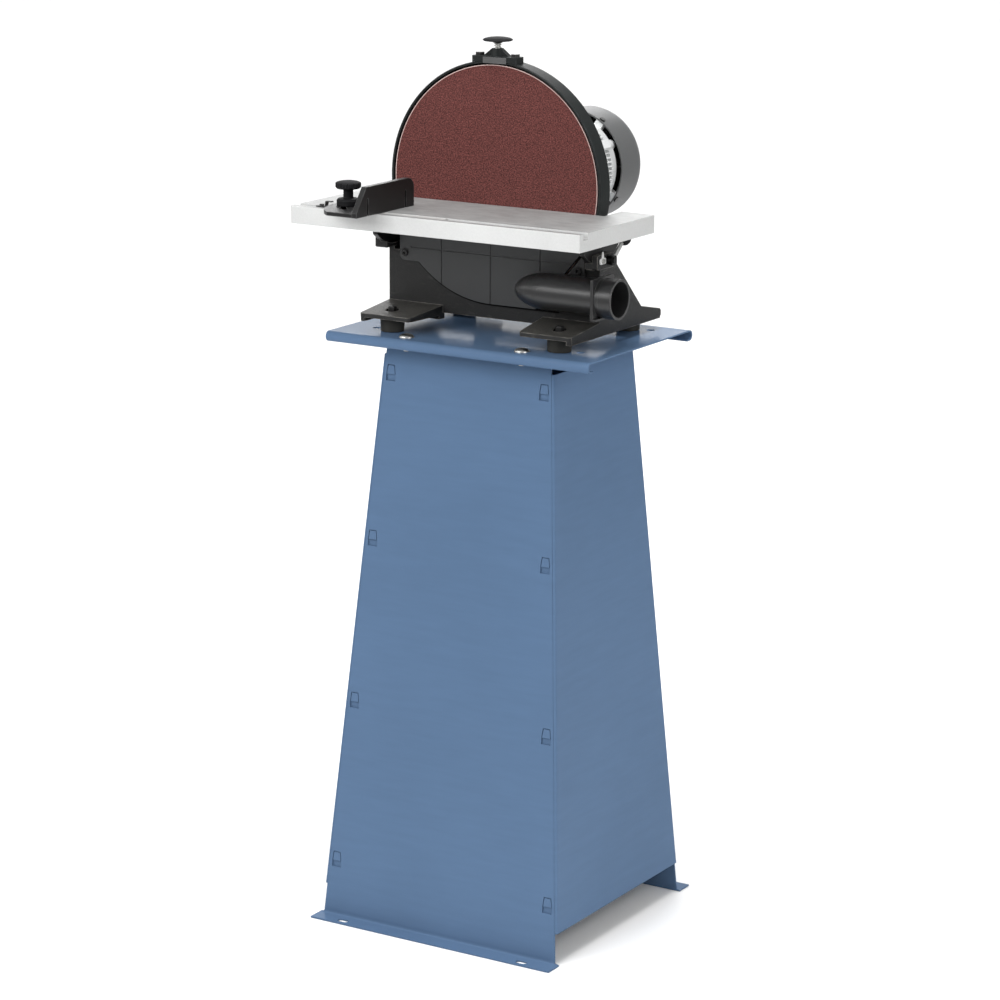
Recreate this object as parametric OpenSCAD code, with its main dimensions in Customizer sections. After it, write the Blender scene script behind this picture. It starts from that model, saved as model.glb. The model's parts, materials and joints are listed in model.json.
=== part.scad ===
// Twelve inch disc sander on a folded sheet metal stand.
// Origin: floor level, middle of the stand's foot slots. +X right, +Y back, +Z up.

/* [Stand] */
// Height of the stand's top plate above the floor
stand_h = 792; // [700:1:850]
// Width across the side panels at the floor
stand_w = 370; // [340:1:420]
// Depth across the front and rear panels at the floor
stand_d = 331; // [300:1:380]
// Width across the side panels under the top plate
neck_w = 255; // [235:1:290]
// Depth across the front and rear panels under the top plate
neck_d = 202; // [185:1:210]
// How far the neck is set back from the middle of the feet
neck_shift = 10; // [0:1:20]
// Thickness of the folded sheet
sheet_t = 2; // [1.5:0.1:3]
// Width of the foot flanges
foot_flange = 24.5; // [20:0.5:35]
// Width of the flanges under the top plate
neck_flange = 24; // [20:0.5:26]
// Height of the side panels' lower edge
side_lift = 42; // [25:1:80]
// Vertical spacing of the hook tabs
tab_pitch = 221; // [190:1:225]
// Height of the lowest hook tab
tab_first = 77.5; // [60:0.5:90]
// Width of a hook tab's opening
tab_w = 14; // [11:0.5:16]
// Height of a hook tab's opening
tab_h = 21; // [16:0.5:24]
// Radius of the bends along the side panels' edges
bend_r = 3; // [2.5:0.1:4]
// How far the side panels stop below the top plate
side_drop = 26; // [20:1:40]
// Length of the foot slots
slot_l = 16; // [12:0.5:22]
// Width of the foot slots
slot_w = 9; // [7:0.5:11]
// Half spacing of the foot slots across the stand
slot_x = 140; // [110:1:160]

/* [Top plate] */
// Width of the top plate
plate_w = 397.5; // [370:0.5:420]
// Depth of the top plate over its rolled edges
plate_d = 273; // [262:1:290]
// Outer radius of the rolled edges
roll_r = 7; // [5:0.5:9]
// Width of the rolled edges' return
roll_back = 7; // [4:0.5:9]
// Diameter of the spare fixing holes
spare_hole_d = 11; // [8:0.5:13]
// Half spacing of the spare holes across the plate
spare_hole_x = 155; // [145:1:170]
// Half spacing of the spare holes along the plate
spare_hole_y = 91; // [80:1:100]

/* [Base casting] */
// Width of the base casting
base_w = 320; // [316:1:330]
// Wall thickness of the casting
cast_t = 8; // [6:0.5:9]
// Front edge of the front feet
base_front = -104; // [-112:1:-95]
// Rear edge of the rear feet
base_rear = 131; // [125:1:140]
// Front face of the housing wall
wall_y = -33; // [-34:0.5:-32]
// Height of the rubber feet
rubber_h = 14.5; // [10:0.5:20]
// Radius of the rubber feet
rubber_r = 16; // [12:0.5:18]
// Half spacing of the rubber feet across the base
rubber_x = 127; // [118:1:132]
// Place of the front rubber feet along the base
rubber_front = -76; // [-78:1:-66]
// Place of the rear rubber feet along the base
rubber_rear = 101; // [92:1:101]
// Height of the gap under the base between the feet
arch_h = 8; // [5:0.5:10]
// Depth of the hollow under each foot
foot_hollow = 5; // [3:0.5:6]

/* [Disc and guard] */
// Diameter of the abrasive disc
disc_d = 305; // [300:1:308]
// Height of the disc axis above the top plate
axis_h = 198.5; // [197:0.5:203]
// Face of the abrasive, along Y
disc_face = -28.7; // [-29.5:0.1:-28]
// Thickness of the abrasive disc with its backing
abrasive_t = 1.5; // [1:0.1:2.5]
// Thickness of the disc plate
disc_t = 9; // [7:0.5:10]
// Gap between the disc's edge and the guard
guard_gap = 2.5; // [2:0.1:3.5]
// Thickness of the guard's rim
guard_t = 3; // [2.5:0.1:4]
// Front edge of the guard, along Y
guard_front = -30.5; // [-31:0.1:-30]
// Rear face of the disc housing, along Y
guard_rear = -5; // [-7:0.5:-4]
// Thickness of the disc housing's back plate
back_t = 5; // [4:0.5:6]

/* [Table] */
// Height of the table's surface above the top plate
table_h = 171; // [170:0.5:173]
// Width of the table
table_w = 430; // [420:1:440]
// Front edge of the table, along Y
table_front = -179; // [-190:1:-176]
// Rear edge of the table's wings, along Y
wing_end = 11.5; // [8:0.5:13]
// Thickness of the table over its rim
table_t = 22.5; // [20:0.5:24]
// Thickness of the table's deck
deck_t = 10; // [9:0.5:11]
// Gap between the table's edge and the guard
table_gap = 2; // [1.5:0.1:3]
// Gap between the table's notch and the guard at the sides
notch_gap = 7.5; // [6:0.5:9]
// Width of the mitre slot
mitre_w = 12.6; // [10:0.1:14]
// Depth of the mitre slot
mitre_depth = 8; // [6:0.1:9]
// Lip in front of the mitre slot
mitre_lip = 8.7; // [7:0.1:12]
// Radius of the trunnion's half moon
trunnion_r = 62; // [58:0.5:64]
// Largest tilt of the table
tilt_max = 45; // [30:1:45]

/* [Mitre gauge] */
// Place of the gauge's fence face, in from the table's left end
gauge_in = 132; // [115:1:155]
// Length of the gauge bar
bar_l = 195; // [170:1:220]
// Length of the fence
fence_l = 130; // [110:1:140]
// Height of the fence
fence_h = 37; // [28:0.5:45]
// Thickness of the fence
fence_t = 7.5; // [6:0.1:9]
// Radius of the gauge head
head_r = 75; // [70:1:78]
// Radius of the clamp knob's cap
clamp_r = 16.5; // [13:0.5:19]

/* [Motor] */
// Radius of the motor over its fins
motor_r = 68; // [65:0.5:70]
// Rear end of the motor's body, along Y
motor_end = 172; // [150:1:190]
// Number of cooling fins
fins = 72; // [48:4:84]
// Radius of the fan cover
cowl_r = 75; // [74:0.5:80]
// Length of the fan cover
cowl_l = 64; // [52:1:75]
// Radius of the motor shaft
shaft_r = 9.5; // [8:0.5:11]

/* [Brake] */
// Radius of the brake's push cap
cap_r = 19.5; // [17:0.5:24]
// Travel of the brake
brake_travel = 3.3; // [2:0.1:3.4]
// Radius of the brake's stem
stem_r = 3; // [2.5:0.1:3.5]

/* [Dust port] */
// Outer radius of the dust tube
tube_r = 24; // [21:0.5:24]
// Outer radius of the hose spigot
spigot_r = 26; // [24:0.5:26.5]
// Wall thickness of the dust port
port_t = 3; // [2:0.5:4]
// Outer end of the hose spigot, along X
spigot_end = 204; // [195:1:215]

/* [Hidden] */
$fn = 64;
fit = 0.08;
run = 0.3;
plate_y = neck_shift;
H = stand_h - sheet_t;
cast_z = stand_h + rubber_h;
foot_t = 9.5;
toe_t = 10.5;
root_t = 18;
heel_y = 77;
heel_t = 23.5;
axis_z = stand_h + axis_h;
table_z = stand_h + table_h;
disc_r = disc_d / 2;
disc_back = disc_face + abrasive_t + disc_t;
guard_ri = disc_r + guard_gap;
guard_ro = guard_ri + guard_t;
notch_x = guard_ro + notch_gap;
edge_y = guard_front - table_gap;
pivot_y = edge_y + 1.5;
under_z = table_z - table_t;
deck_z = table_z - deck_t;
half_b = base_w / 2;
slot_y0 = table_front + mitre_lip;
slot_yc = slot_y0 + mitre_w / 2;
tr_x1 = half_b;
tr_x0 = half_b - 7;
ear_x = half_b + 8.3;
seat_r = trunnion_r + run;
ear_front = pivot_y - 22.7;
ear_rear = pivot_y + 19;
ear_z0 = table_z - 67;
ear_z1 = table_z - 48;
lever_y = pivot_y + 5.4;
lever_z = table_z - 56.5;
lever_a = 38.5;
lever_l = 38;
ball_r = 9;
stud_r = 4;
open_r = disc_r + 2.5;
cover_y1 = wall_y - run;
cover_y0 = cover_y1 - 4.7;
cover_r = disc_r + 3.8;
cover_x = 140;
cover_top = table_z - 45;
cover_ear_z = axis_z - 110.5;
cover_flat = axis_z - cover_r;
screw_x = 131.8;
screw_z = axis_z - 100.5;
tube_y = wall_y - 1 - tube_r;
tube_z = axis_z - 127;
tube_x0 = 51;
nose_l = 50;
flange_x = 176;
flange_t = 4;
flange_w = 53;
groove_x = flange_x + flange_t + 5.6;
neck_z = stand_h - 2 * sheet_t;
bolt_x = 87.5;
bolt_off = 12;
slot_yf = stand_d / 2 + foot_flange * 0.62;
bell_y0 = guard_rear;
bell_t = 17;
body_y0 = bell_y0 + bell_t;
rear_bell_y = motor_end - 12;
cowl_screw_y = motor_end + 4.5;
core_r = motor_r - 12;
cowl_y0 = motor_end;
cowl_y1 = motor_end + cowl_l;
cowl_t = 2;
boss_a = [30, 120, 210, 300];
through_r = motor_r - 6;
shaft_y1 = cowl_y1 - 30;
brake_y = (disc_face + abrasive_t + disc_back) / 2;
ring_top = axis_z + guard_ro;
saddle_z = ring_top + 5.5;
cone_z = saddle_z + 10;
cap_z = cone_z + 7;
pad_z = axis_z + guard_ri + 0.5;
g_y = slot_yc;
g_z = table_z + run;
gauge_x = gauge_in - table_w / 2;
g_pivot = gauge_x - 16;
g_knob = gauge_x - 53;
head_t = 5;
bar_x0 = g_knob - 49;
bar_z0 = table_z - mitre_depth + run;
box_x0 = -112;
box_y0 = 50;
box_y1 = 122;
box_z0 = axis_z - 42;
box_z1 = axis_z + 42;
btn_y = (box_y0 + box_y1) / 2;
start_z = axis_z + 20;
stop_z = axis_z - 18;

function mix(a, b, t) = a + (b - a) * t;
function front_y(z) = mix(-stand_d / 2, neck_shift - neck_d / 2, z / H);
function rear_y(z) = mix(stand_d / 2, neck_shift + neck_d / 2, z / H);
function side_x(z) = mix(stand_w / 2, neck_w / 2, z / H);
function polar(r, a) = [r * cos(a), r * sin(a)];
function arc(r, a0, a1, n) = [for (i = [0:n]) polar(r, a0 + (a1 - a0) * i / n)];

module along_x(x0, x1) {
    translate([x0, 0, 0]) rotate([90, 0, 90]) linear_extrude(x1 - x0) children();
}
module along_y(y0, y1) {
    translate([0, y1, 0]) rotate([90, 0, 0]) linear_extrude(y1 - y0) children();
}
module rod_x(r, x0, x1, y, z) {
    translate([x0, y, z]) rotate([0, 90, 0]) cylinder(h = x1 - x0, r = r);
}
module rod_y(r, y0, y1, x, z) {
    translate([x, y1, z]) rotate([90, 0, 0]) cylinder(h = y1 - y0, r = r);
}
module rod_z(r, z0, z1, x, y) {
    translate([x, y, z0]) cylinder(h = z1 - z0, r = r);
}
module block(x0, x1, y0, y1, z0, z1) {
    translate([x0, y0, z0]) cube([x1 - x0, y1 - y0, z1 - z0]);
}
module rounded(w, h, r) {
    square([w - 2 * r, h], center = true);
    square([w, h - 2 * r], center = true);
    for (x = [-1, 1], y = [-1, 1])
        translate([x * (w / 2 - r), y * (h / 2 - r)]) circle(r);
}
module slot2d(l, w) {
    square([l - w, w], center = true);
    for (x = [-1, 1]) translate([x * (l - w) / 2, 0]) circle(w / 2);
}
module rev_y(y0, z0) {
    translate([0, y0, z0]) rotate([-90, 0, 0]) rotate_extrude($fn = 96) children();
}
module hex(af, h) {
    cylinder(h = h, r = af / sqrt(3), $fn = 6);
}
module right_or_left(s) {
    mirror([s < 0 ? 1 : 0, 0, 0]) children();
}

// Profile of the front panel seen from the side: foot flange, leaning sheet, neck flange.
module front_profile() {
    square_at(-stand_d / 2 - foot_flange, 0, foot_flange + sheet_t, sheet_t);
    polygon([[front_y(0), 0], [front_y(0) + sheet_t, 0],
        [front_y(H) + sheet_t, H], [front_y(H), H]]);
    square_at(front_y(H) - neck_flange, H - sheet_t, neck_flange + sheet_t, sheet_t);
    bend_at(front_y(sheet_t), sheet_t, -1, 1);
    bend_at(front_y(H - sheet_t), H - sheet_t, -1, -1);
}
module rear_profile() {
    square_at(stand_d / 2 - sheet_t, 0, foot_flange + sheet_t, sheet_t);
    polygon([[rear_y(0) - sheet_t, 0], [rear_y(0), 0],
        [rear_y(H), H], [rear_y(H) - sheet_t, H]]);
    square_at(rear_y(H) - sheet_t, H - sheet_t, neck_flange + sheet_t, sheet_t);
    bend_at(rear_y(sheet_t), sheet_t, 1, 1);
    bend_at(rear_y(H - sheet_t), H - sheet_t, 1, -1);
}
module square_at(y, z, w, h) {
    translate([y, z]) square([w, h]);
}
module bend_at(y, z, sy, sz) {
    r = 3;
    translate([y, z]) difference() {
        translate([sy < 0 ? -r : -0.3, sz < 0 ? -r : 0]) square([r + 0.3, r]);
        translate([sy * r, sz * r]) circle(r);
    }
}
// Outline of the front and rear panels seen from the front, narrower than the side panels' bends.
module panel_outline() {
    e = bend_r + 0.8;
    polygon([[-stand_w / 2 - 1.5, 0], [stand_w / 2 + 1.5, 0], [stand_w / 2 + 1.5, sheet_t],
        [side_x(sheet_t) - e, sheet_t + 1], [side_x(H) - e, H], [-side_x(H) + e, H],
        [-side_x(sheet_t) + e, sheet_t + 1], [-stand_w / 2 - 1.5, sheet_t]]);
}
function tab_z(i) = tab_first + i * tab_pitch;
function tab_x(i) = side_x(tab_z(i)) - bend_r - 11.5;
// Bell-shaped opening for a hook tab, and the tab itself with g of clearance.
module bell(g) {
    w = tab_w / 2;
    h = tab_h / 2;
    polygon([[-w + 1.6 + g, h - g], [w - 1.6 - g, h - g], [w - g, -0.1 * h], [w - g, g - h], [g - w, g - h],
        [g - w, -0.1 * h]]);
}
module tab_slots() {
    for (i = [0:3], s = [-1, 1]) translate([s * tab_x(i), tab_z(i)]) bell(0);
}
module leaf_panel(front) {
    y0 = front ? -stand_d / 2 - foot_flange - 1 : 0;
    y1 = front ? 0 : stand_d / 2 + foot_flange + 1;
    sy = front ? -1 : 1;
    difference() {
        intersection() {
            along_x(-stand_w / 2 - 2, stand_w / 2 + 2)
                if (front) front_profile(); else rear_profile();
            along_y(y0, y1) panel_outline();
        }
        along_y(y0, y1) tab_slots();
        for (s = [-1, 1])
            translate([s * slot_x, sy * slot_yf, -1]) linear_extrude(sheet_t + 2) slot2d(slot_l, slot_w);
        for (s = [-1, 1])
            rod_z(4.4, H - sheet_t - 4, H + 1, s * bolt_x, bolt_y(sy));
    }
}
function bolt_y(sy) = sy < 0 ? front_y(H) - bolt_off : rear_y(H) + bolt_off;
module stand_front_panel() {
    color("steelblue") leaf_panel(true);
}
module stand_rear_panel() {
    color("steelblue") leaf_panel(false);
}
// Slab between two leaning planes that follow the front (sy = -1) or rear leaf, at depths d0 and d1 under its face.
module leaf_slab(sy, d0, d1, z0, z1) {
    along_x(0, stand_w) polygon([[face_y(sy, z0) - sy * d0, z0], [face_y(sy, z0) - sy * d1, z0],
        [face_y(sy, z1) - sy * d1, z1], [face_y(sy, z1) - sy * d0, z1]]);
}
function face_y(sy, z) = sy < 0 ? front_y(z) : rear_y(z);
// Slab between two leaning planes that follow the side face, at depths d0 and d1 under it.
module side_slab(d0, d1, z0, z1) {
    along_y(-stand_d, stand_d) polygon([[side_x(z0) - d0, z0], [side_x(z0) - d1, z0],
        [side_x(z1) - d1, z1], [side_x(z1) - d0, z1]]);
}
// One side panel: a leaning sheet with rounded bends, a return behind each leaf and the hook tabs.
module side_panel() {
    z0 = side_lift;
    z1 = H - side_drop;
    d = 2 * stand_d;
    r = bend_r;
    intersection() {
        side_slab(0, sheet_t, z0, z1);
        along_x(0, stand_w) polygon([[front_y(z0) + r, z0], [rear_y(z0) - r, z0], [rear_y(z1) - r, z1],
            [front_y(z1) + r, z1]]);
    }
    for (sy = [-1, 1]) {
        y0 = face_y(sy, z0 - 20) - sy * (r + 0.04);
        y1 = face_y(sy, z1 + 20) - sy * (r + 0.04);
        x0 = side_x(z0 - 20) - r - 0.04;
        x1 = side_x(z1 + 20) - r - 0.04;
        v = [x1 - x0, y1 - y0, z1 - z0 + 40];
        // Rounded bend between the sheet and its return, open where the leaf's edge lies in it.
        difference() {
            intersection() {
                translate([x0, y0, z0 - 20]) rotate([0, acos(v[2] / norm(v)), atan2(v[1], v[0])])
                    linear_extrude(norm(v)) polygon(arc(r, 0, 342, 19));
                translate([0, -stand_d, z0]) cube([stand_w, d, z1 - z0]);
            }
            intersection() {
                side_slab(r + 0.6, 3 * r, z0 - 1, z1 + 1);
                leaf_slab(sy, -r, sheet_t + 0.4, z0 - 1, z1 + 1);
            }
        }
        intersection() {
            side_slab(r - 0.5, 24, z0, z1);
            leaf_slab(sy, sheet_t + 0.1, 2 * sheet_t + 0.1, z0, z1);
        }
        // Hook tabs, pressed forward to the leaf's face.
        for (i = [0:3]) intersection() {
            leaf_slab(sy, 0.1, 2 * sheet_t, z0, z1);
            along_y(-stand_d, stand_d) translate([tab_x(i), tab_z(i)]) intersection() {
                bell(0.8);
                translate([-20, -tab_h * 0.1]) square([40, tab_h]);
            }
        }
    }
}
module stand_right_panel() {
    color("steelblue") side_panel();
}
module stand_left_panel() {
    color("steelblue") mirror([1, 0, 0]) side_panel();
}
// Cross-section of the plate with its front and rear edges rolled under.
function curl(r) = [for (i = [0:10]) [-plate_d / 2 + roll_r + r * cos(90 + i * 18),
    r * sin(90 + i * 18) - roll_r]];
function back_row(v) = [for (i = [len(v) - 1:-1:0]) v[i]];
module plate_profile() {
    e = -plate_d / 2 + roll_r + roll_back;
    half = concat(curl(roll_r), [[e, -2 * roll_r], [e, -2 * roll_r + sheet_t]],
        back_row(curl(roll_r - sheet_t)));
    polygon(concat(half, back_row([for (v = half) [-v[0], v[1]]])));
}
module stand_top_plate() {
    color("steelblue") difference() {
        translate([0, plate_y, stand_h]) along_x(-plate_w / 2, plate_w / 2) plate_profile();
        for (sx = [-1, 1], sy = [-1, 1]) {
            rod_z(spare_hole_d / 2, stand_h - 5, stand_h + 1, sx * spare_hole_x,
                plate_y + 11 + sy * spare_hole_y);
            rod_z(4.4, stand_h - 5, stand_h + 1, sx * bolt_x, bolt_y(sy));
            rod_z(4.4, stand_h - 5, stand_h + 1, sx * rubber_x, rubber_at(sy));
        }
    }
}
function rubber_at(sy) = sy < 0 ? rubber_front : rubber_rear;
// Carriage bolts through the plate and the neck flanges.
module plate_bolts() {
    color("silver") for (sx = [-1, 1], sy = [-1, 1])
        translate([sx * bolt_x, bolt_y(sy), stand_h]) {
            rotate_extrude($fn = 48) polygon(concat([[0, 0]],
                [for (i = [0:8]) [10 * cos(i * 11.25), 4.8 * sin(i * 11.25)]]));
            translate([0, 0, -18]) cylinder(h = 18.01, r = 3.9);
        }
}
module plate_nuts() {
    color("silver") for (sx = [-1, 1], sy = [-1, 1])
        translate([sx * bolt_x, bolt_y(sy), neck_z - 8]) difference() {
            union() {
                hex(13, 6.5);
                translate([0, 0, 6.5]) cylinder(h = 1.5, r = 8.5);
            }
            translate([0, 0, -1]) cylinder(h = 10, r = 3.95);
        }
}

// Side wall seen from the side: feet, leaning rear edge; the curved seat is cut afterwards.
module wall_profile() {
    polygon([[base_front + 3, cast_z], [base_front + 2, cast_z + toe_t], [wall_y, cast_z + root_t],
        [wall_y, table_z - 50], [pivot_y + 42, table_z - 50], [pivot_y + 42, table_z - 68],
        [heel_y, cast_z + heel_t], [base_rear - 4, cast_z + toe_t + 2.5], [base_rear - 1, cast_z + toe_t - 0.5],
        [base_rear - 1, cast_z + 4], [base_rear - 4, cast_z + 1.6], [heel_y, cast_z]]);
}
// Foot seen from above, at the front or the rear.
module foot_plan(s) {
    y0 = s < 0 ? -base_front : base_rear;
    y1 = s < 0 ? -wall_y - 4 : 52;
    a = half_b - 78;
    b = half_b - 84;
    mirror([0, s < 0 ? 1 : 0]) {
        polygon([[b, y1], [half_b, y1], [half_b, y0 - 4], [half_b - 4, y0 - 4],
            [half_b - 4, y0], [a + 6, y0], [a + 6, y0 - 6], [a, y0 - 6]]);
        translate([half_b - 4, y0 - 4]) circle(4);
        translate([a + 6, y0 - 6]) circle(6);
    }
}
module one_foot(s) {
    difference() {
        intersection() {
            translate([0, 0, cast_z]) linear_extrude(heel_t + 10) foot_plan(s);
            along_x(half_b - 90, half_b + 1) if (s < 0) polygon([[base_front - 1, cast_z],
                [base_front - 1, cast_z + toe_t - 0.1], [wall_y + 5, cast_z + root_t + 0.4], [wall_y + 5, cast_z]]);
            else polygon([[51, cast_z], [51, cast_z + toe_t + 2], [heel_y, cast_z + toe_t + 2],
                [base_rear + 1, cast_z + toe_t + 1.9], [base_rear + 1, cast_z]]);
        }
        if (s > 0) block(half_b - 90, half_b - 7, 70, base_rear + 1, cast_z - 1, cast_z + foot_hollow);
        else block(half_b - 90, half_b - 7, base_front - 1, wall_y - 8, cast_z - 1, cast_z + foot_hollow);
    }
}
module base_half() {
    along_x(half_b - cast_t, half_b) wall_profile();
    one_foot(-1);
    one_foot(1);
    // Ear outside the trunnion, and the toe below its seat.
    difference() {
        union() {
            along_x(half_b - 0.2, ear_x) ear_profile();
            block(half_b - cast_t - 2, half_b, ear_front, wall_y + 2, ear_z0 + 0.6, ear_z0 + 12);
        }
        rod_x(stud_r, half_b - 2, ear_x + 1, lever_y, lever_z);
    }
}
module ear_profile() {
    translate([(ear_front + ear_rear) / 2, (ear_z0 + ear_z1) / 2])
        rounded(ear_rear - ear_front, ear_z1 - ear_z0, 2.5);
}
module base_casting() {
    wx = half_b - cast_t + 0.5;
    color([0.13, 0.13, 0.13]) difference() {
        union() {
            base_half();
            mirror([1, 0, 0]) base_half();
            // Front wall below the disc.
            along_y(wall_y, wall_y + cast_t) difference() {
                translate([-wx, cast_z + arch_h]) square([2 * wx, ear_z0 - 4 - cast_z - arch_h]);
                translate([0, axis_z]) circle(open_r, $fn = 160);
            }
            // Rear wall of the dust chamber and the floor between the walls.
            block(-wx, wx, guard_rear, guard_rear + cast_t, cast_z + arch_h, axis_z - 62);
            block(-wx, wx, wall_y + 1, guard_rear + 1, cast_z + arch_h, cast_z + arch_h + 6);
            // Tie between the rear feet, and the two ribs that run to it.
            block(-half_b + 74, half_b - 74, 60, 60 + cast_t, cast_z + 0.5, cast_z + 20);
            for (s = [-1, 1]) along_x(s * 56 - 3, s * 56 + 3) polygon([[guard_rear + 2, cast_z + arch_h + 1],
                [guard_rear + 2, axis_z - 75], [guard_rear + cast_t + 4, axis_z - 75],
                [62, cast_z + 18], [62, cast_z + arch_h + 1]]);
        }
        // Curved seats of the trunnions, inside the ears.
        for (s = [-1, 1])
            rod_x(seat_r, min(s * (half_b - cast_t - 4), s * (half_b + 0.3)),
                max(s * (half_b - cast_t - 4), s * (half_b + 0.3)), pivot_y, table_z);
        for (sx = [-1, 1], sy = [-1, 1]) {
            rod_z(4.4, cast_z - 1, cast_z + 30, sx * rubber_x, rubber_at(sy));
            rod_z(9, cast_z + foot_t, cast_z + 30, sx * rubber_x, rubber_at(sy));
        }
        for (sx = [-1, 1]) {
            for (z = housing_z) rod_y(3, guard_rear - 1, guard_rear + cast_t + 1, sx * housing_x, z);
            rod_y(2.5, wall_y - 1, wall_y + cast_t + 1, sx * screw_x, screw_z);
        }
        // Mouth for the motor's front bell.
        rod_y(motor_r + 2, guard_rear - 1, guard_rear + cast_t + 5, 0, axis_z);
    }
}
housing_x = disc_r - 56.5;
housing_z = [axis_z - disc_r / 2 + 2.25, axis_z - disc_r + 56.5];
module rubber_feet() {
    color([0.2, 0.2, 0.19]) for (sx = [-1, 1], sy = [-1, 1])
        translate([sx * rubber_x, rubber_at(sy), stand_h]) difference() {
            rotate_extrude($fn = 64) polygon([[0, 0], [rubber_r - 1.5, 0], [rubber_r - 0.6, 1],
                [rubber_r, rubber_h], [rubber_r - 0.6, rubber_h + foot_hollow], [0, rubber_h + foot_hollow]]);
            translate([0, 0, -1]) cylinder(h = rubber_h + foot_hollow + 2, r = 4.4);
        }
}
module machine_bolts() {
    color("dimgray") for (sx = [-1, 1], sy = [-1, 1])
        translate([sx * rubber_x, rubber_at(sy), cast_z + foot_t]) {
            hex(13, 5.3);
            translate([0, 0, -foot_t - rubber_h - 14]) cylinder(h = foot_t + rubber_h + 14.01, r = 3.9);
        }
}
module machine_nuts() {
    color("silver") for (sx = [-1, 1], sy = [-1, 1])
        translate([sx * rubber_x, rubber_at(sy), stand_h - sheet_t - 8]) difference() {
            union() {
                hex(13, 8);
            }
            translate([0, 0, -1]) cylinder(h = 10, r = 3.95);
        }
}

module disc_housing() {
    low = axis_z - 96;
    color([0.22, 0.25, 0.24]) difference() {
        union() {
            difference() {
                rev_y(0, axis_z) polygon([[guard_ri, guard_front + 0.5], [guard_ri + 0.6, guard_front],
                    [guard_ro - 0.8, guard_front], [guard_ro, guard_front + 0.8],
                    [guard_ro, guard_rear - 1], [guard_ro - 1, guard_rear], [motor_r - 20, guard_rear],
                    [motor_r - 20, guard_rear - back_t], [guard_ri, guard_rear - back_t]]);
                block(-200, 200, guard_front - 1, guard_rear + 1, axis_z - 200, low);
            }
            // Skirt that carries the housing on the base.
            block(-118, 118, guard_rear - back_t, guard_rear, axis_z - 108, low + 2);
        }
        for (sx = [-1, 1], z = housing_z)
            rod_y(3.4, guard_rear - back_t - 1, guard_rear + 1, sx * housing_x, z);
        rod_z(6, axis_z + guard_ri - 2, ring_top + 1, 0, brake_y);
        for (sx = [-1, 1]) rod_z(2.6, axis_z + guard_ri - 5, ring_top + 1, sx * 26.5, brake_y);
        for (a = boss_a) translate([0, 0, axis_z]) rotate([0, -a, 0])
            rod_y(3.2, guard_rear - back_t - 1, guard_rear + 1, through_r, 0);
    }
}
module housing_screws() {
    color("dimgray") for (sx = [-1, 1], z = housing_z)
        translate([sx * housing_x, guard_rear - back_t, z]) rotate([-90, 0, 0]) {
            translate([0, 0, -4]) cylinder(h = 4, r = 5.5);
            cylinder(h = back_t + cast_t + 1, r = 2.95);
        }
}
// Seam between the lower cover and the dust port, as a line in the front view.
seam_a = [112, axis_z - 107.5];
seam_b = [137.3, axis_z - 78];
module seam_mask(side, gap) {
    d = (seam_b - seam_a) / norm(seam_b - seam_a);
    n = [d[1], -d[0]];
    p = seam_a - 130 * d + side * gap * n;
    q = seam_a + 120 * d + side * gap * n;
    polygon([p, q, q + side * 300 * n, p + side * 300 * n]);
}
module cover_outline() {
    x0 = sqrt(pow(cover_r, 2) - pow(axis_z - cover_ear_z, 2));
    difference() {
        union() {
            intersection() {
                translate([0, axis_z]) circle(cover_r, $fn = 160);
                translate([-cover_x, cover_flat - 1]) square([cover_x, cover_top - cover_flat + 1]);
            }
            translate([-0.01, cover_flat]) square([cover_x + 0.01, cover_top - cover_flat]);
            translate([-cover_x, cover_ear_z + 8]) square([60, cover_top - cover_ear_z - 8]);
            translate([-cover_x + 8, cover_ear_z]) square([cover_x - 8 - x0 + 8, 20]);
            translate([-cover_x + 8, cover_ear_z + 8]) circle(8);
        }
        seam_mask(1, -2);
    }
}
module lower_cover() {
    color([0.27, 0.27, 0.28]) difference() {
        along_y(cover_y0, cover_y1) cover_outline();
        // Shell hollow behind the face, open to the dust chamber.
        along_y(cover_y0 + 2.7, cover_y1 + 1) intersection() {
            translate([0, axis_z]) circle(disc_r - 3, $fn = 160);
            translate([-112, cover_flat + 4]) square([196, cover_top - cover_flat - 8]);
        }
        for (x = [-75, 0, 75]) block(x - 0.9, x + 0.9, cover_y0 - 1, cover_y0 + 1, cover_flat - 5, cover_top + 5);
        block(-123, 130, cover_y0 - 1, cover_y0 + 0.8, axis_z - 93.2, axis_z - 91.8);
        screw_pocket(-screw_x);
        // Passage into the dust tube.
        duct(0.4, [[tube_r + 0.4, 200], [0, 200]]);
    }
}
module screw_pocket(x) {
    rod_y(4.6, cover_y0 - 1, cover_y0 + 2.2, x, screw_z);
    rod_y(2.6, cover_y0 - 1, cover_y1 + 1, x, screw_z);
}
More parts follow.
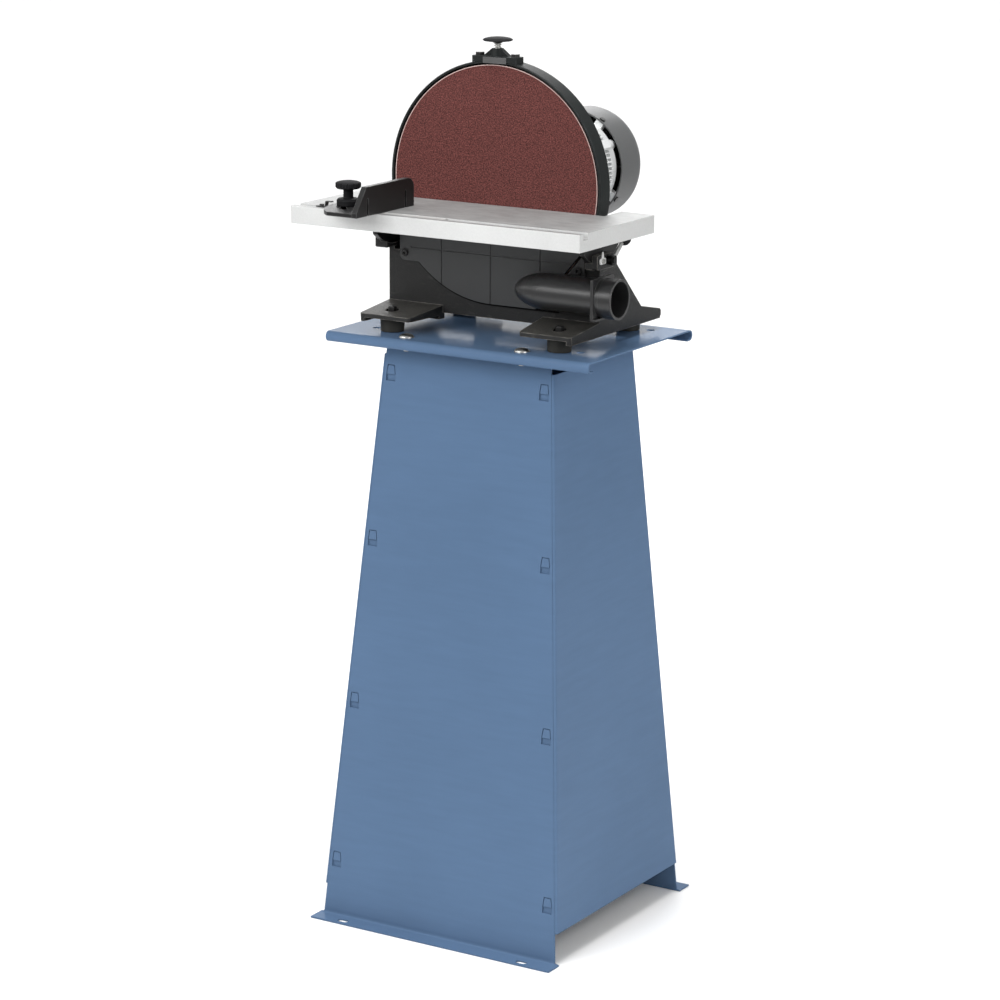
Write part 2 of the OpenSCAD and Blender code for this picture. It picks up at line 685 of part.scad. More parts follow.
// Round duct with a domed left end, g larger than the tube; its outer end follows in tail.
function dome(g) = [for (i = [0:12]) [(tube_r + g) * sin(i * 7.5),
    tube_x0 + nose_l - (nose_l + g) * cos(i * 7.5)]];
module duct(g, tail) {
    translate([0, tube_y, tube_z]) rotate([0, 90, 0]) rotate_extrude($fn = 64)
        polygon(concat(dome(g), tail));
}
module dust_port() {
    ri = tube_r - port_t;
    color([0.12, 0.12, 0.12]) difference() {
        union() {
            duct(0, [[tube_r, flange_x + 1], [spigot_r - 0.8, flange_x + 1], [spigot_r - 0.8, groove_x],
                [spigot_r, groove_x], [spigot_r, spigot_end], [0, spigot_end]]);
            along_y(cover_y0, cover_y1) intersection() {
                translate([seam_a[0] - 30, tube_z]) square([cover_x - seam_a[0] + 30, cover_top - tube_z]);
                seam_mask(1, 2);
            }
            // Square flange with its lower lip, then the hose spigot.
            along_x(flange_x, flange_x + flange_t) translate([tube_y, tube_z]) rounded(flange_w, flange_w, 2);
            block(flange_x, flange_x + flange_t + 4, tube_y - flange_w / 2, tube_y + flange_w / 2,
                tube_z - flange_w / 2, tube_z - flange_w / 2 + 2.5);
        }
        duct(-port_t, [[ri, flange_x + 2], [spigot_r - port_t, flange_x + 2],
            [spigot_r - port_t, spigot_end + 1], [0, spigot_end + 1]]);
        // Inlet from the dust chamber.
        block(tube_x0 + nose_l / 2, tube_x0 + nose_l + 6, tube_y + 8, wall_y + 2, tube_z - 11, tube_z + 11);
        screw_pocket(screw_x);
    }
}
module cover_screws() {
    color("black") for (sx = [-1, 1]) translate([sx * screw_x, cover_y0, screw_z]) rotate([-90, 0, 0]) {
        difference() {
            translate([0, 0, 0.2]) cylinder(h = 1.9, r = 4.2);
            translate([0, 0, -1]) hex(3.2, 2.2);
        }
        translate([0, 0, 2]) cylinder(h = 9, r = 2.4);
    }
}

module disc_plate() {
    color("silver") difference() {
        rev_y(0, axis_z) polygon([[shaft_r + 0.03, disc_face + abrasive_t], [disc_r - 0.5, disc_face + abrasive_t],
            [disc_r - 0.5, disc_back], [disc_r - 5, disc_back], [disc_r - 7, disc_back - 2],
            [38, disc_back - 2], [34, disc_back], [24, disc_back], [24, disc_back + 22],
            [22.5, disc_back + 23.5], [shaft_r + 0.03, disc_back + 23.5]]);
        rod_z(3, axis_z, axis_z + 30, 0, disc_back + 16);
    }
}
module abrasive_disc() {
    color([0.38, 0.2, 0.18]) rod_y(disc_r, disc_face, disc_face + abrasive_t, 0, axis_z);
}
module disc_set_screw() {
    color("black") difference() {
        rod_z(2.97, axis_z + shaft_r + 0.1, axis_z + 23.5, 0, disc_back + 16);
        translate([0, disc_back + 16, axis_z + 20]) hex(3, 5);
    }
}

module table_plan() {
    x = table_w / 2;
    difference() {
        union() {
            polygon([[-x, table_front], [x, table_front], [x, wing_end - 4], [x - 4, wing_end - 4],
                [x - 4, wing_end], [4 - x, wing_end], [4 - x, wing_end - 4], [-x, wing_end - 4]]);
            for (s = [-1, 1]) translate([s * (x - 4), wing_end - 4]) circle(4);
        }
        translate([-notch_x, edge_y]) square([2 * notch_x, 100]);
    }
}
module pocket(x0, x1, y0, y1) {
    translate([(x0 + x1) / 2, (y0 + y1) / 2, under_z - 1]) linear_extrude(table_t - deck_t + 1)
        rounded(x1 - x0, y1 - y0, 5);
}
module table() {
    x = table_w / 2;
    y_ap = slot_y0 + mitre_w + 8;
    y_bk = edge_y - table_t - 4;
    color([0.78, 0.78, 0.78]) difference() {
        translate([0, 0, under_z]) linear_extrude(table_t) table_plan();
        // Mitre slot, with small reliefs at its foot.
        block(-x - 1, x + 1, slot_y0, slot_y0 + mitre_w, table_z - mitre_depth, table_z + 1);
        // Bevel under the edge that faces the disc.
        along_x(-notch_x, notch_x) polygon([[edge_y + 1, table_z - 0.8], [edge_y, table_z - 0.8],
            [edge_y - table_t + 0.8, under_z], [edge_y - table_t, under_z - 1], [edge_y + 1, under_z - 1]]);
        // Ribbed underside.
        for (s = [-1, 1]) {
            pocket(min(s * 4, s * 74), max(s * 4, s * 74), y_ap, y_bk - 8);
            pocket(min(s * 82, s * 116), max(s * 82, s * 116), y_ap, y_bk - 8);
            pocket(min(s * 120, s * (x - 8)), max(s * 120, s * (x - 8)), y_ap, edge_y - 46);
        }
        for (s = [-1, 1]) {
            block(min(s * 120, s * (x - 8)), max(s * 120, s * (x - 8)), edge_y - 54, pivot_y + 6,
                under_z - 1, deck_z);
            for (y = flange_bolts) rod_z(3.4, deck_z - 1, deck_z + 7, s * flange_bolt_x, y);
        }
    }
}
flange_bolt_x = half_b - 22;
flange_bolts = [edge_y - 31.5, edge_y - 45.5];
// Half moon trunnion: seat rim, open web and the flange bolted under the deck.
module trunnion() {
    front = edge_y - 39.5;
    arm = edge_y - 51.5;
    difference() {
        union() {
            along_x(tr_x0, tr_x1) {
                intersection() {
                    translate([pivot_y, table_z]) circle(trunnion_r, $fn = 128);
                    translate([front, table_z - 70]) square([pivot_y + 51 - front, 40]);
                }
                translate([arm, table_z - 31]) square([edge_y - 22.5 - arm, 31 - deck_t]);
            }
            block(half_b - 36, tr_x0 + 1, arm, edge_y - 22.5, deck_z - 8, deck_z);
            along_y(edge_y - 40, edge_y - 36) polygon([[tr_x0 + 1, deck_z - 7], [half_b - 17, deck_z - 7],
                [tr_x0 + 1, deck_z - 24]]);
        }
        along_x(tr_x0 - 1, tr_x1 + 1) intersection() {
            difference() {
                translate([pivot_y, table_z]) circle(trunnion_r - 20, $fn = 96);
                translate([pivot_y, table_z]) circle(20);
            }
            translate([pivot_y - 2, table_z - 60]) square([40, 24]);
        }
        for (y = flange_bolts) rod_z(3.6, deck_z - 9, deck_z + 1, flange_bolt_x, y);
    }
}
module right_trunnion() {
    color([0.1, 0.1, 0.1]) trunnion();
}
module left_trunnion() {
    color([0.1, 0.1, 0.1]) mirror([1, 0, 0]) trunnion();
}
module trunnion_bolts() {
    color("dimgray") for (s = [-1, 1], y = flange_bolts) translate([s * flange_bolt_x, y, deck_z - 8]) {
        translate([0, 0, -4.5]) hex(10, 4.5);
        cylinder(h = 14, r = 3.3);
    }
}
module tilt_pointer() {
    py = pivot_y - 10.3;
    color("gainsboro") along_x(ear_x, ear_x + 1.2) difference() {
        union() {
            translate([py, table_z - 56.2]) rounded(15, 7.6, 2.4);
            polygon([[py - 3.2, table_z - 53.5], [py - 0.6, table_z - 44.2], [py + 0.6, table_z - 44.2],
                [py + 3.2, table_z - 53.5]]);
        }
        translate([py, table_z - 56.2]) circle(2.2);
    }
}
module pointer_screw() {
    py = pivot_y - 10.3;
    color("silver") {
        rod_x(3.2, ear_x + 1.2, ear_x + 2.8, py, table_z - 56.2);
        rod_x(2.1, ear_x + 0.02, ear_x + 1.3, py, table_z - 56.2);
    }
}
// Clamp lever: hub on a stud through the ear, flat arm and ball end.
module lock_lever() {
    x0 = ear_x + 0.2;
    rod_x(stud_r - fit, tr_x1 + run, x0 + 1, lever_y, lever_z);
    rod_x(6.5, x0, x0 + 8, lever_y, lever_z);
    rod_x(4, x0, x0 + 9.5, lever_y, lever_z);
    translate([x0 + 5.5, lever_y, lever_z]) rotate([lever_a, 0, 0]) rotate([-90, 0, 0])
        cylinder(h = lever_l - ball_r + 3, r1 = 3, r2 = 2.6);
}
module lever_ball() {
    x0 = ear_x + 0.2;
    translate([x0 + 5.5, lever_y, lever_z]) rotate([lever_a, 0, 0]) difference() {
        translate([0, lever_l, 0]) sphere(ball_r);
        rotate([-90, 0, 0]) cylinder(h = lever_l - ball_r + 3.1, r1 = 3.02, r2 = 2.62);
        translate([-10, lever_l - ball_r - 5, -10]) cube([20, 6, 20]);
    }
}
module right_lock_lever() {
    color("silver") lock_lever();
}
module left_lock_lever() {
    color("silver") mirror([1, 0, 0]) lock_lever();
}
module right_lever_ball() {
    color("black") lever_ball();
}
module left_lever_ball() {
    color("black") mirror([1, 0, 0]) lever_ball();
}

module motor_front_bell() {
    color("gainsboro") difference() {
        union() {
            rod_y(motor_r - 1, bell_y0, bell_y0 + 7, 0, axis_z);
            rod_y(through_r - 6, bell_y0 + 6, body_y0, 0, axis_z);
            for (a = boss_a) translate([0, 0, axis_z]) rotate([0, -a, 0])
                block(45, motor_r - 2, bell_y0 + 5, body_y0, -7, 7);
        }
        rod_y(34, bell_y0 - 1, bell_y0 + 12, 0, axis_z);
        rod_y(24, bell_y0 + 11, body_y0 + 1, 0, axis_z);
        for (a = boss_a) translate([0, 0, axis_z]) rotate([0, -a, 0])
            rod_y(3.1, bell_y0 - 1, body_y0 + 1, through_r, 0);
    }
}
module fin_section() {
    difference() {
        union() {
            circle(motor_r - 7, $fn = 96);
            for (i = [0:fins - 1]) rotate(i * 360 / fins) translate([0, -1]) square([motor_r, 2]);
            for (a = boss_a) rotate(a) translate([motor_r - 16, -6]) square([20, 12]);
        }
        circle(core_r, $fn = 96);
        for (a = boss_a) rotate(a) translate([through_r, 0]) circle(3.3);
    }
}
module motor_body() {
    color("gainsboro") difference() {
        translate([0, 0, axis_z]) mirror([0, 1, 0]) rotate([90, 0, 0])
            translate([0, 0, body_y0]) linear_extrude(rear_bell_y - body_y0) fin_section();
    }
}
module motor_rear_bell() {
    y0 = rear_bell_y;
    color("gainsboro") difference() {
        union() {
            rev_y(0, axis_z) polygon([[19, y0 + 6], [19, y0 + 18], [26, y0 + 20], [motor_r - 8, y0 + 16],
                [motor_r - 2, y0 + 12], [motor_r - 2, y0], [core_r, y0], [core_r - 4, y0 + 6]]);
            for (a = boss_a) translate([0, 0, axis_z]) rotate([0, -a, 0])
                rod_y(7, y0, y0 + 17, through_r, 0);
            for (a = cowl_a) translate([0, 0, axis_z]) rotate([0, -a, 0]) {
                block(56, motor_r - 2, y0 + 2, cowl_y0 + 10, -6, 6);
                block(60, cowl_r - cowl_t - 0.5, cowl_y0 + 0.6, cowl_y0 + 10, -6, 6);
            }
        }
        for (a = boss_a) translate([0, 0, axis_z]) rotate([0, -a, 0])
            rod_y(3.1, y0 - 1, y0 + 18, through_r, 0);
        for (a = cowl_a) translate([0, cowl_screw_y, axis_z]) rotate([0, 90 - a, 0])
            cylinder(h = cowl_r, r = 1.9);
    }
}
cowl_a = [-33, 57, 147, 237];
module motor_stator() {
    color("darkgoldenrod") rev_y(0, axis_z) polygon([[42, 45], [core_r - 0.2, 45],
        [core_r - 0.2, motor_end - 42], [42, motor_end - 42]]);
}
module motor_rotor() {
    color("silver") rev_y(0, axis_z) polygon([[shaft_r + 2.02, 42], [38, 42], [41.4, 46],
        [41.4, motor_end - 43], [38, motor_end - 39], [shaft_r + 2.02, motor_end - 39]]);
}
module motor_shaft() {
    color("silver") rev_y(0, axis_z) polygon([[0, disc_face + abrasive_t + 1], [shaft_r - 1, disc_face + abrasive_t + 1],
        [shaft_r, disc_face + abrasive_t + 2], [shaft_r, 28], [shaft_r + 2, 28],
        [shaft_r + 2, rear_bell_y + 4], [shaft_r - 1, rear_bell_y + 4], [shaft_r - 1, shaft_y1 - 1],
        [shaft_r - 2, shaft_y1], [0, shaft_y1]]);
}
module bearing(ri, ro, y0, w) {
    rev_y(0, axis_z) polygon([[ri, y0], [ri + 3, y0], [ri + 3.3, y0 + 0.8], [ro - 3.3, y0 + 0.8],
        [ro - 3, y0], [ro, y0], [ro, y0 + w], [ro - 3, y0 + w], [ro - 3.3, y0 + w - 0.8],
        [ri + 3.3, y0 + w - 0.8], [ri + 3, y0 + w], [ri, y0 + w]]);
}
module front_bearing() {
    color("gray") bearing(shaft_r + fit, 23.95, bell_y0 + 12.1 + 0.9, 12);
}
module rear_bearing() {
    color("gray") bearing(shaft_r - 1 + fit, 18.95, rear_bell_y + 6, 12);
}
module cooling_fan() {
    y0 = rear_bell_y + 25;
    color([0.15, 0.15, 0.15]) difference() {
        union() {
            rod_y(14, y0, y0 + 18, 0, axis_z);
            rod_y(56, y0 + 15, y0 + 18, 0, axis_z);
            for (i = [0:8]) translate([0, 0, axis_z]) rotate([0, i * 40, 0])
                block(12, 64, y0, y0 + 16, -1.2, 1.2);
        }
        rod_y(shaft_r - 0.97, y0 - 1, y0 + 19, 0, axis_z);
    }
}
module fan_cover() {
    r = 20;
    n = 8;
    ys = cowl_y1 - r;
    color([0.33, 0.33, 0.34]) difference() {
        rev_y(0, axis_z) polygon(concat([[cowl_r, cowl_y0]],
            [for (i = [0:n]) [cowl_r - r + r * cos(i * 90 / n), ys + r * sin(i * 90 / n)]],
            [[0, cowl_y1 + 1.5], [0, cowl_y1 + 1.5 - cowl_t]],
            [for (i = [n:-1:0]) [cowl_r - r + (r - cowl_t) * cos(i * 90 / n), ys + (r - cowl_t) * sin(i * 90 / n)]],
            [[cowl_r - cowl_t, cowl_y0]]));
        // Air inlet: rings of short slots in the back.
        for (k = [0:2], i = [0:11]) translate([0, 0, axis_z]) rotate([0, i * 30 + k * 15, 0])
            translate([17 + k * 13, cowl_y1 - 8, -2]) cube([9, 20, 4]);
        for (a = cowl_a) translate([0, cowl_screw_y, axis_z]) rotate([0, 90 - a, 0])
            cylinder(h = cowl_r + 5, r = 2.2);
    }
}
module cowl_screws() {
    color("black") for (a = cowl_a) translate([0, cowl_screw_y, axis_z]) rotate([0, 90 - a, 0]) {
        translate([0, 0, cowl_r - 12]) cylinder(h = 12.3, r = 1.85);
        translate([0, 0, cowl_r + 0.2]) cylinder(h = 2.2, r = 4);
    }
}
module motor_through_bolts() {
    color("dimgray") for (a = boss_a) translate([0, 0, axis_z]) rotate([0, -a, 0]) {
        rod_y(3, guard_rear - back_t + 0.5, rear_bell_y + 17.1, through_r, 0);
        translate([through_r, rear_bell_y + 17, 0]) rotate([-90, 0, 0]) hex(10, 4);
    }
}

module switch_box() {
    x1 = -motor_r + 12;
    color([0.16, 0.16, 0.17]) difference() {
        union() {
            along_x(box_x0 + 3, x1) translate([btn_y, axis_z]) rounded(box_y1 - box_y0, box_z1 - box_z0, 6);
            along_x(box_x0, box_x0 + 3.1) translate([btn_y, axis_z])
                rounded(box_y1 - box_y0 - 3, box_z1 - box_z0 - 3, 5);
        }
        rod_y(motor_r + 0.2, box_y0 - 1, box_y1 + 1, 0, axis_z);
        for (a = boss_a) translate([0, 0, axis_z]) rotate([0, -a, 0])
            block(motor_r - 17, motor_r + 4.3, box_y0 - 1, box_y1 + 1, -6.3, 6.3);
        along_x(box_x0 + 4, x1 + 1) translate([btn_y, axis_z])
            rounded(box_y1 - box_y0 - 8, box_z1 - box_z0 - 8, 3);
        rod_x(11, box_x0 - 1, box_x0 + 6, btn_y, start_z);
        rod_x(11, box_x0 - 1, box_x0 + 6, btn_y, stop_z);
        rod_z(8, box_z0 - 1, box_z0 + 6, (box_x0 + x1) / 2 - 8, btn_y);
        for (y = [-1, 1], z = [-1, 1]) rod_x(1.6, box_x0 - 1, box_x0 + 12, btn_y + y * 29, axis_z + z * 35);
    }
}
module switch_bezel() {
    color([0.05, 0.05, 0.05]) difference() {
        along_x(box_x0 - 3, box_x0) translate([btn_y, axis_z]) rounded(36, 72, 6);
        rod_x(9.1, box_x0 - 4, box_x0 + 1, btn_y, start_z);
        rod_x(9.1, box_x0 - 4, box_x0 + 1, btn_y, stop_z);
    }
}
module start_button() {
    color("green") {
        rod_x(9, box_x0 - 4, box_x0 + 8, btn_y, start_z);
    }
}
module stop_button() {
    color("red") {
        rod_x(9, box_x0 - 9, box_x0 + 8, btn_y, stop_z);
        translate([box_x0 - 9, btn_y, stop_z]) rotate([0, -90, 0]) rotate_extrude($fn = 64)
            polygon(concat([[0, 0], [14, 0]], [for (i = [0:6]) [14 * cos(i * 15), 2 + 5 * sin(i * 15)]]));
    }
}
module switch_screws() {
    color("silver") for (y = [-1, 1], z = [-1, 1]) {
        rod_x(3, box_x0 - 2, box_x0, btn_y + y * 29, axis_z + z * 35);
        rod_x(1.55, box_x0 - 1, box_x0 + 10, btn_y + y * 29, axis_z + z * 35);
    }
}
module cord_gland() {
    gx = (box_x0 - motor_r + 12) / 2 - 8;
    color([0.08, 0.08, 0.08]) difference() {
        union() {
            translate([gx, btn_y, box_z0 - 8]) hex(20, 8);
            rod_z(8.5, box_z0 - 16, box_z0 - 8, gx, btn_y);
            rod_z(7.9, box_z0 - 1, box_z0 + 5, gx, btn_y);
        }
        rod_z(4, box_z0 - 17, box_z0 + 6, gx, btn_y);
    }
}

module brake_bracket() {
    color([0.2, 0.22, 0.21]) difference() {
        union() {
            along_y(brake_y - 9, brake_y + 9) difference() {
                translate([-33, ring_top - 6]) square([66, saddle_z - ring_top + 6]);
                translate([0, axis_z]) circle(guard_ro + 0.02, $fn = 160);
            }
            translate([0, brake_y, saddle_z - 0.01]) cylinder(h = cone_z - saddle_z, r1 = 9, r2 = 6);
            // Side webs of the cone.
            along_y(brake_y - 4, brake_y + 4) polygon([[-19, saddle_z - 0.01], [19, saddle_z - 0.01],
                [6, cone_z], [-6, cone_z]]);
        }
        rod_z(stem_r + fit, ring_top - 10, cone_z + 1, 0, brake_y);
        rod_z(5.3, saddle_z + 1.5, cone_z + 1, 0, brake_y);
        rod_z(5.6, ring_top - 10, saddle_z - 1.2, 0, brake_y);
        for (s = [-1, 1]) rod_z(2.7, ring_top - 10, saddle_z + 1, s * 26.5, brake_y);
    }
}
module brake_bolts() {
    color("dimgray") for (s = [-1, 1]) translate([s * 26.5, brake_y, saddle_z]) {
        hex(11, 4);
        translate([0, 0, -8.5]) cylinder(h = 8.51, r = 2.5);
    }
}
module brake_stem() {
    color("silver") rod_z(stem_r, pad_z + 3, cap_z + 2, 0, brake_y);
}
module brake_cap() {
    color([0.12, 0.12, 0.12]) translate([0, brake_y, cap_z]) difference() {
        rotate_extrude($fn = 96) polygon(concat([[0, -0.4], [5, -0.4], [7, 0.8], [cap_r - 1.5, 2.4]],
            [for (i = [0:10]) [cap_r * cos(i * 9), 3.4 + 4.2 * sin(i * 9)]]));
        translate([0, 0, -1]) cylinder(h = 3, r = stem_r + 0.02);
    }
}
// Return spring, one round wire wound upwards.
spring_n = 5;
spring_r = 4.25;
wire_r = 0.55;
spring_z0 = saddle_z + 1.5 + wire_r + 0.1;
spring_z1 = cap_z - 0.4 - wire_r - 0.1;
module brake_spring() {
    steps = spring_n * 8;
    ring = [for (i = [0:steps], k = [0:5]) let (a = i * 45, b = k * 60,
        r = spring_r + wire_r * cos(b), z = spring_z0 + (spring_z1 - spring_z0) * i / steps + wire_r * sin(b))
        [r * cos(a), brake_y + r * sin(a), z]];
    side = [for (i = [0:steps - 1], k = [0:5]) let (a = i * 6 + k, b = i * 6 + (k + 1) % 6)
        each [[a, b, b + 6], [a, b + 6, a + 6]]];
    e = steps * 6;
    color("silver") polyhedron(points = ring, faces = concat(side,
        [for (k = [1:4]) [0, k + 1, k]], [for (k = [1:4]) [e, e + k, e + k + 1]]));
}
module brake_pad() {
    color([0.25, 0.2, 0.16]) rod_z(4.2, pad_z, pad_z + 3, 0, brake_y);
}

// Bare plate on the front of the bracket.
module label_plate() {
    color("silver") along_y(brake_y - 9.8, brake_y - 9) translate([1, saddle_z - 5])
        rounded(35, 8, 1);
}

module gauge_bar() {
    color("silver") difference() {
        along_x(bar_x0, bar_x0 + bar_l) translate([g_y, (bar_z0 + table_z - 0.4) / 2])
            square([mitre_w - 2 * fit, table_z - 0.4 - bar_z0], center = true);
        rod_z(3.05, bar_z0 - 1, table_z + 1, g_pivot, g_y);
        rod_z(3.05, bar_z0 - 1, table_z + 1, g_knob, g_y);
        rod_z(1.6, bar_z0 - 1, table_z + 1, bar_x0 + 8, g_y);
    }
}
// Head: half round base with its arc slot, and the fence with sloped ends.
module gauge_head() {
    f0 = g_y - fence_l / 2 + 5;
    f1 = g_y + fence_l / 2 + 7;
    z0 = g_z;
    z1 = g_z + fence_h;
    color([0.1, 0.1, 0.1]) difference() {
        union() {
            translate([0, 0, z0]) linear_extrude(head_t) difference() {
                intersection() {
                    translate([gauge_x, g_y]) circle(head_r, $fn = 128);
                    translate([gauge_x - head_r, g_y - head_r * 0.79])
                        square([head_r - 1, head_r * 1.58]);
                }
                translate([g_pivot, g_y]) circle(4.05);
                arc_slot();
            }
            along_x(gauge_x - fence_t, gauge_x) polygon(concat([[f0, z0], [f1, z0]],
                [for (v = arc(13, 0, 90, 8)) v + [f1 - 13, z1 - 13]], [[f0 + 23, z1], [f0, z0 + 6]]));
            for (y = [f0 + 30, f1 - 26]) along_y(y - 3, y + 3) polygon([[gauge_x - fence_t + 0.5, z0 + 1],
                [gauge_x - fence_t + 0.5, z1 - 8], [gauge_x - fence_t - 14, z0 + 1]]);
        }
        rod_z(4.05, z0 - 1, z0 + 20, g_pivot, g_y);
        block(gauge_x - fence_t - 1, gauge_x + 1, f0 + 24, f0 + 27, z0 - 1, z0 + 22);
        block(gauge_x - fence_t - 1, gauge_x + 1, f1 - 21, f1 - 18, z0 - 1, z0 + 22);
    }
}
module arc_slot() {
    ra = g_pivot - g_knob;
    w = 3.8;
    translate([g_pivot, g_y]) polygon(concat(arc(ra + w, 125, 235, 22),
        [for (v = arc(w, 235, 415, 8)) v + polar(ra, 235)], arc(ra - w, 235, 125, 22),
        [for (v = arc(w, 305, 485, 8)) v + polar(ra, 125)]));
}
module gauge_pivot_pin() {
    color("silver") {
        rod_z(3, bar_z0 + 0.5, table_z + 0.01, g_pivot, g_y);
        rod_z(4, table_z - 0.35, g_z + head_t + 0.2, g_pivot, g_y);
        rod_z(6.5, g_z + head_t + 0.1, g_z + head_t + 2.4, g_pivot, g_y);
    }
}
module gauge_clamp_stud() {
    color("silver") {
        rod_z(3, bar_z0 + 0.5, g_z + head_t + 24, g_knob, g_y);
    }
}
module gauge_clamp_knob() {
    z0 = g_z + head_t + 0.3;
    color([0.1, 0.1, 0.1]) translate([g_knob, g_y, z0]) difference() {
        union() {
            rotate_extrude($fn = 72) polygon([[3 + fit, 0], [14.5, 0], [15, 0.5], [15, 6], [13.5, 8.5],
                [7.5, 9], [6.4, 10.5], [6.4, 19], [7.2, 21.5], [3 + fit, 21.5]]);
            difference() {
                rotate_extrude($fn = 96) polygon(concat([[0, 21.4], [clamp_r - 2, 21.4], [clamp_r, 23.4],
                    [clamp_r, 28]], [for (i = [0:8]) [clamp_r * cos(i * 11.25), 28 + 3.6 * sin(i * 11.25)]]));
                for (i = [0:11]) rotate(i * 30) translate([clamp_r + 1.2, 0, 20]) cylinder(h = 16, r = 2.2);
            }
        }
        translate([0, 0, -1]) cylinder(h = 26.2, r = 3 + fit);
    }
}
module gauge_pointer() {
    color([0.08, 0.08, 0.08]) {
        translate([bar_x0 + 8, g_y, table_z]) linear_extrude(1.5) rounded(14, 10, 2);
        rod_z(3, table_z + 1.4, table_z + 3.6, bar_x0 + 8, g_y);
        rod_z(1.55, table_z - 4, table_z + 1.5, bar_x0 + 8, g_y);
        along_y(g_y - 3, g_y + 3) polygon([[bar_x0 + 14, table_z], [bar_x0 + 15.5, table_z],
            [bar_x0 + 17, table_z + 7], [bar_x0 + 24, table_z + 7], [bar_x0 + 24, table_z + 8.3],
            [bar_x0 + 15.6, table_z + 8.3]]);
    }
}

stand_front_panel();
stand_rear_panel();
stand_left_panel();
stand_right_panel();
stand_top_plate();
plate_bolts();
plate_nuts();
base_casting();
rubber_feet();
machine_bolts();
machine_nuts();
disc_housing();
housing_screws();
lower_cover();
dust_port();
cover_screws();
disc_plate();
abrasive_disc();
disc_set_screw();
table();
left_trunnion();
right_trunnion();
trunnion_bolts();
tilt_pointer();
pointer_screw();
left_lock_lever();
right_lock_lever();
left_lever_ball();
right_lever_ball();
motor_front_bell();
motor_body();
motor_rear_bell();
motor_stator();
motor_rotor();
motor_shaft();
front_bearing();
rear_bearing();
cooling_fan();
fan_cover();
cowl_screws();
motor_through_bolts();
switch_box();
switch_bezel();
start_button();
stop_button();
switch_screws();
cord_gland();
brake_bracket();
brake_bolts();
brake_stem();
brake_cap();
brake_spring();
brake_pad();
label_plate();
gauge_bar();
gauge_head();
gauge_pivot_pin();
gauge_clamp_knob();
gauge_clamp_stud();
gauge_pointer();
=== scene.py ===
"""Looks of the disc sander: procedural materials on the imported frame, small dressing, studio
and camera. Lengths are metres in the CAD's frame: +Z up, the disc faces -Y, its shaft along Y."""
import json
import math

import bmesh
import bpy
from mathutils import Matrix, Vector


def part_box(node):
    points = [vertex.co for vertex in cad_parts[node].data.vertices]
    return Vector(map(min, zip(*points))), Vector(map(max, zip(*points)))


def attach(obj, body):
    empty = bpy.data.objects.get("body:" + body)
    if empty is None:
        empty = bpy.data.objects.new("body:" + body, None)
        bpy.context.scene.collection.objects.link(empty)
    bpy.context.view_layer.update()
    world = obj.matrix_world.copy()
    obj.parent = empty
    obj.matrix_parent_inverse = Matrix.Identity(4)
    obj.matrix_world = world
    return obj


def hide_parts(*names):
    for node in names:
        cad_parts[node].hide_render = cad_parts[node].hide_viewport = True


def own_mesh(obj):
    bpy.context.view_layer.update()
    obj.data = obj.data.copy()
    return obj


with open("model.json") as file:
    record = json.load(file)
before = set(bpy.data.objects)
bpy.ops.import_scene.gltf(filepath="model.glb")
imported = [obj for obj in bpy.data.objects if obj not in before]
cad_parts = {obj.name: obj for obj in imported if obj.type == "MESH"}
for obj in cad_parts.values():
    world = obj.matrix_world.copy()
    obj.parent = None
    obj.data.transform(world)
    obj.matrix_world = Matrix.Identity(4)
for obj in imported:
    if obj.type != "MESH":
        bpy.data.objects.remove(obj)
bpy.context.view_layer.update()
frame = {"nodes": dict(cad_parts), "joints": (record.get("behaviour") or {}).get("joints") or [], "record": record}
nodes = frame["nodes"]
joints = {joint["name"]: joint for joint in frame["joints"]}
disc_lo, disc_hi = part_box("abrasive_disc")
disc_center, disc_rim = (disc_lo + disc_hi) / 2, (disc_hi.x - disc_lo.x) / 2

X, Y = 0, 1
FULL = (0, 1)  # a mask from nothing to everything
MIDDLE = (0.3, 0.7)  # where most values of a noise lie
INNER = (0.36, 0.64)  # a narrower span, for more contrast


